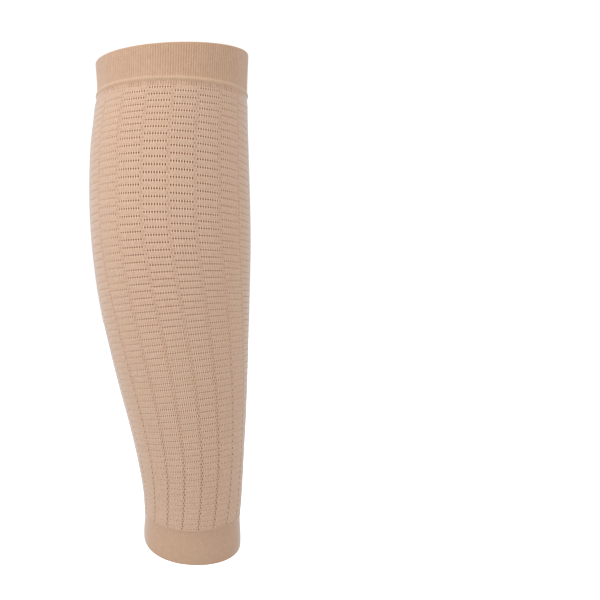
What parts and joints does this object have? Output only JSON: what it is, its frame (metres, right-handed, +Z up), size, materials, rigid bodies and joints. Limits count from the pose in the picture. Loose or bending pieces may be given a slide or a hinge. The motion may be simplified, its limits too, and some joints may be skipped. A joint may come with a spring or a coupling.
{
  "type": "calf compression sleeve",
  "caption": "Knitted calf sleeve in worn form: columns of eyelet knit on the leg, a ribbed top cuff over a rolled ridge and a plain turned ankle cuff; it squeezes the lower leg.",
  "frame": {"origin": "middle of the limb space at the widest level of the calf", "axes": "+Z up the limb to the knee end, +X forward from calf to shin, -Y to the side that the picture shows"},
  "size_m": [0.1071, 0.1062, 0.3405],
  "materials": {
    "eyelet_knit": "matt tan nylon and elastane knit with open eyelets in rows",
    "rib_knit": "matt tan knit with fine upright ribs",
    "ridge_knit": "matt light tan rolled knit",
    "plain_knit": "smooth close tan knit"
  },
  "bodies": {
    "root": {"leg_knit": "eyelet_knit", "top_cuff": "rib_knit", "top_ridge": "ridge_knit", "bottom_cuff": "plain_knit"}
  },
  "joints": []
}
